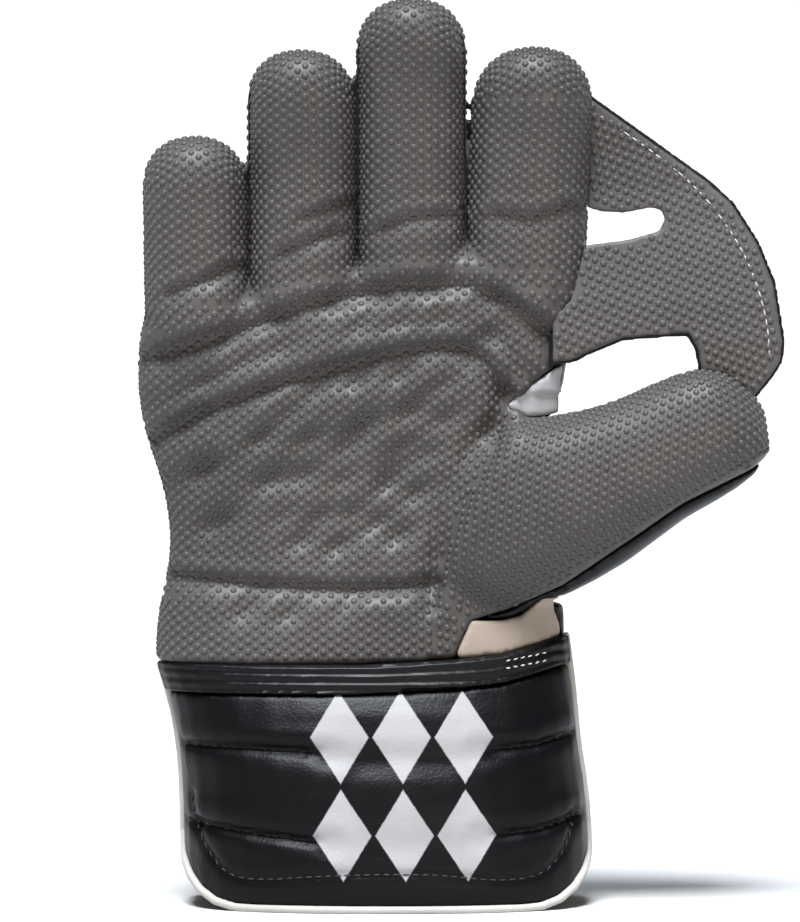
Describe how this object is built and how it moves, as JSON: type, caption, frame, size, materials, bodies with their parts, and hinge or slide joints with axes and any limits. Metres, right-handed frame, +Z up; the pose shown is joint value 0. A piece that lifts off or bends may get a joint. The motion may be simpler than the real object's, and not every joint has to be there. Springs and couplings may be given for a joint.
{
  "type": "wicketkeeping glove",
  "caption": "Padded right-hand catching glove with a pimpled grey rubber palm, a web beside the thumb and a black padded gauntlet cuff with white piping.",
  "frame": {"origin": "on the surface that the glove stands on, below the middle of its bounding box", "axes": "+Z up from the cuff hem to the fingertips, -Y out of the palm towards the viewer, +X towards the thumb side"},
  "size_m": [0.228, 0.0942, 0.3199],
  "materials": {
    "grip_rubber": "matt grey rubber with raised round pimples",
    "black_leather": "soft black leather, satin",
    "cuff_leather": "black padded leather, satin, with a printed white pattern",
    "white_leather": "off-white leather",
    "cream_leather": "cream leather",
    "piping": "white sewn piping"
  },
  "bodies": {
    "root": {"palm_face": "grip_rubber", "thumb_face": "grip_rubber", "hand_back": "black_leather", "thumb_back": "black_leather", "little_face": "grip_rubber", "ring_face": "grip_rubber", "middle_face": "grip_rubber", "index_face": "grip_rubber", "little_back": "black_leather", "ring_back": "black_leather", "middle_back": "black_leather", "index_back": "black_leather", "crotch_gusset": "white_leather", "wrist_gusset": "cream_leather", "web_face": "grip_rubber", "web_back": "black_leather", "cuff_band": "cuff_leather", "cuff_front": "cuff_leather", "cuff_back": "cuff_leather", "cuff_piping_front": "piping", "cuff_piping_back": "piping"}
  },
  "joints": []
}
